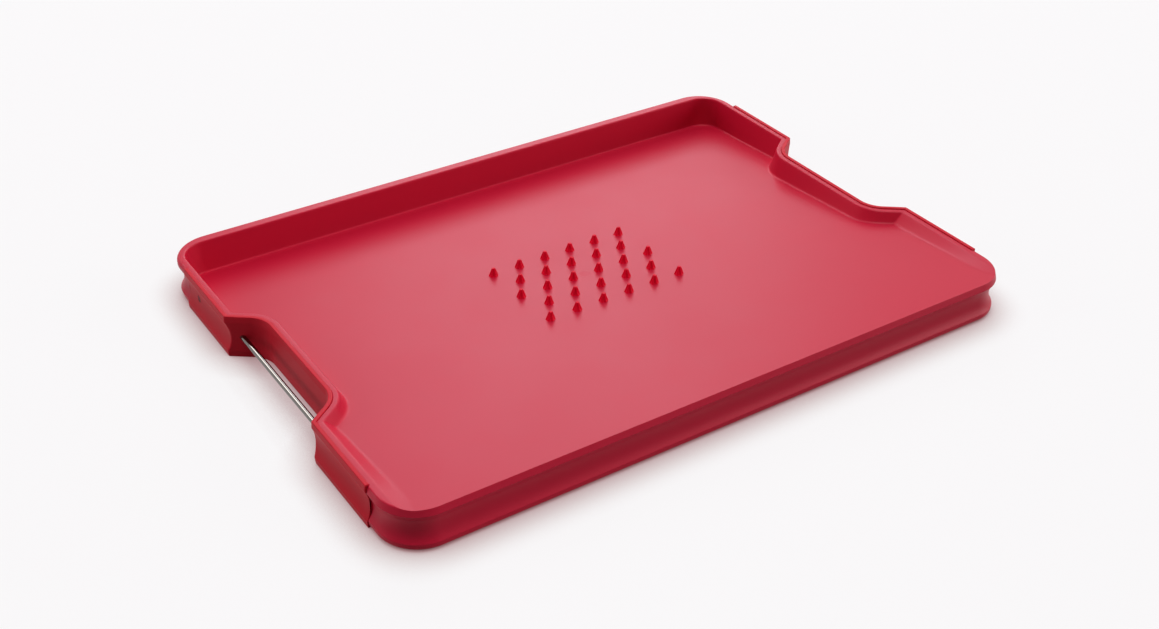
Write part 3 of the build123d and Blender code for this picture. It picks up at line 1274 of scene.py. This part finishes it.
@dataclass(frozen=True)
class Studio:
    """Pale floor, soft light from overhead, from both sides and from behind, and the camera.

    Each of the painted shadow colours has the share of open sky above the floor at which it holds.
    """

    floor_colour: Colour = (0.955, 0.940, 0.947, 1.0)
    floor_reach: float = 6.0
    floor_lines: int = 9
    mottle_scale: float = 3.0
    mottle_shade: float = 0.996
    paper_roughness: float = 0.95
    bounce_colour: Colour = (0.26, 0.25, 0.255, 1.0)
    # painted shadow: the floor's own light near the board, darkest where closed in, tinted red as painted bounce
    # light
    painted_shadow_colour: Colour = (0.10, 0.03, 0.035, 1.0)
    painted_shadow_colours: tuple[tuple[float, Colour], ...] = (
        (0.30, (0.34, 0.17, 0.18, 1.0)),
        (0.50, (0.51, 0.36, 0.37, 1.0)),
        (0.75, (0.74, 0.66, 0.66, 1.0)),
    )
    white_share: float = 0.90
    painted_shadow_reach: float = 0.021
    painted_shadow_samples: int = 8
    room_light: float = 0.08
    room_colour: Colour = (1.0, 0.992, 0.995, 1.0)
    lights: tuple[SoftLamp | SoftPanel, ...] = (
        SoftLamp("overhead_lamp", 250.0, 86.0, 24.0, 1.47),
        SoftLamp("left_lamp", 150.0, 9.0, 40.0, 1.25, mirrored=False),
        SoftLamp("right_lamp", 326.0, 9.0, 44.0, 1.85),
        SoftLamp("strip_lamp", 106.0, 41.0, 23.0, 0.75, lighting=False),
        SoftLamp("side_strip_lamp", 18.0, 34.0, 30.0, 0.75, lighting=False),
        SoftPanel("rear_panel", 60.0, 40.5, 2.6, (1.1, 2.2), 4.6, (0.95, 0.97, 1.06)),
    )
    camera_at: Triple = (-0.40146, -0.58801, 0.46220)
    camera_right: Triple = (0.83338599, -0.55252530, 0.01354908)
    camera_down: Triple = (-0.29700236, -0.46838027, -0.83211148)
    camera_forward: Triple = (0.46610876, 0.68944595, -0.55444288)
    lens: float = 47.22
    sensor_width: float = 36.0
    view_depth: float = 50.0

    def build_floor(self) -> Object:
        """Makes the floor, a wide flat sheet.

        Returns:
            The floor.
        """
        span = np.linspace(-self.floor_reach, self.floor_reach, self.floor_lines)
        x, y = np.meshgrid(span, span)
        points = np.stack([x, y, np.zeros_like(x)], axis=2).reshape(-1, 3)
        quads = grid_faces(len(span), len(span), closed_columns=False)[:, ::-1]
        mesh = bpy.data.meshes.new("studio_floor")
        mesh.from_pydata(points.tolist(), [], quads.tolist())
        mesh.materials.append(self.make_paper())
        return link_object("studio_floor", mesh)

    def make_paper(self) -> Material:
        """Makes the floor's faintly mottled paper.

        Where it is seen, a share of its white is its own light, as on a lit table, and the rest takes the
        lamps' shadows. Its own light turns to the painted shadow colours where the board closes the place in:
        a painted contact shadow, dim, and tinted red as painted light bounced off the board.

        Returns:
            The material.
        """
        material, shader, place = start_material("studio_paper")
        tree = material.node_tree
        seen = self.seen_rays(tree)
        pale = [(1 - self.white_share) * part for part in self.floor_colour[:3]]
        shaded = [self.mottle_shade * part for part in pale]
        mottle = noise(tree, place, self.mottle_scale, detail=2.0)
        paper = mix(tree, mottle, (*pale, 1.0), (*shaded, 1.0))
        # painted contact shadow: ambient occlusion turns the floor's own light dim and red near the board
        depth = {"Distance": self.painted_shadow_reach}
        corner = add_node(tree, "AmbientOcclusion", depth, samples=self.painted_shadow_samples)
        glow_with_painted_shadow = add_node(tree, "ValToRGB", {"Fac": corner.outputs["AO"]})
        stops = glow_with_painted_shadow.color_ramp.elements
        stops[0].color, stops[1].color = self.painted_shadow_colour, self.floor_colour
        for share, colour in self.painted_shadow_colours:
            stops.new(share).color = colour
        feed_all(
            shader,
            {
                "Base Color": mix(tree, seen, self.bounce_colour, paper),
                "Roughness": self.paper_roughness,
                "Specular IOR Level": 0.0,
                "Emission Color": glow_with_painted_shadow.outputs["Color"],
                "Emission Strength": calculate(tree, "MULTIPLY", seen, self.white_share),
            },
        )
        return material

    def seen_rays(self, tree: NodeTree) -> NodeSocket:
        """Tells the rays that see the white surroundings from those that only carry soft light.

        Args:
            tree: Node tree of a studio material or of the world.

        Returns:
            A value of 1 for camera, glossy and transmission rays and 0 for the rest.
        """
        rays = tree.nodes.new("ShaderNodeLightPath").outputs
        direct = calculate(tree, "MAXIMUM", rays["Is Camera Ray"], rays["Is Glossy Ray"])
        return calculate(tree, "MAXIMUM", direct, rays["Is Transmission Ray"])

    def light(self) -> None:
        """Sets the room light, which is plain white where it is seen, and hangs the lamps and the panel."""
        world = bpy.data.worlds.new("studio_room")
        bpy.context.scene.world = world
        world.use_nodes = True
        tree = world.node_tree
        added = calculate(tree, "MULTIPLY", self.seen_rays(tree), 1.0 - self.room_light)
        strength = calculate(tree, "ADD", added, self.room_light)
        feed_all(tree.nodes["Background"].inputs, {"Color": self.room_colour, "Strength": strength})
        for light in self.lights:
            light.hang()

    def place_camera(self) -> None:
        """Sets the camera where the photograph was taken from."""
        camera = bpy.data.cameras.new("camera")
        camera.lens = self.lens
        camera.sensor_width = self.sensor_width
        camera.sensor_fit = "HORIZONTAL"
        camera.clip_end = self.view_depth
        holder = link_object("camera", camera)
        right, down, forward = map(Vector, (self.camera_right, self.camera_down, self.camera_forward))
        turn = Matrix((right, -down, -forward)).transposed().to_4x4()
        holder.matrix_world = Matrix.Translation(self.camera_at) @ turn
        bpy.context.scene.camera = holder


# -------- main


def attach(piece: Object, slot: Slot, *nodes: Node) -> None:
    """Ties a piece to the frame and reports it.

    Args:
        piece: The finished piece.
        slot: The record's slot that its finish belongs to. Not used.
        nodes: The CAD nodes that it stands for.
    """
    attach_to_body(piece, "root")
    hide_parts(*(node.value for node in nodes))
    LOG.info("%s: %d faces, stands for %s", piece.name, len(piece.data.polygons), nodes[0].value)


def main() -> None:
    """Builds the pieces in order, then the studio."""
    logging.basicConfig(level=logging.INFO, format="%(name)s: %(message)s")
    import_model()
    sizes = BoardSizes()
    skin, gate = moulded_skin_group(), gate_mark_group()
    plastic = BoardPlastic().make("board_plastic_red", skin, gate)
    attach(BoardMoulding(sizes).build(plastic), Slot.BOARD, Node.BODY)
    spike_plastic_painted_glow = SpikePlasticPaintedGlow().make("spike_plastic_red", skin, gate)
    attach(SpikeField(sizes).build(spike_plastic_painted_glow), Slot.BOARD, Node.BODY)
    steel = RodSteel().make("ground_rod_steel_painted_dark", ground_steel_group())
    for end in End:
        rubber = GripRubber().make(f"{end.name.lower()}_grip_rubber", skin, gate, end.value)
        attach(EndGrip(sizes, end).build(rubber), Slot.GRIP, Node[f"{end.name}_GRIP"])
        attach(HandleRod(sizes, end).build(steel), Slot.ROD, Node[f"{end.name}_ROD"])

    studio = Studio()
    studio.build_floor()
    studio.light()
    studio.place_camera()

    bpy.context.scene.view_settings.view_transform = "Standard"


if __name__ == "__main__":
    main()
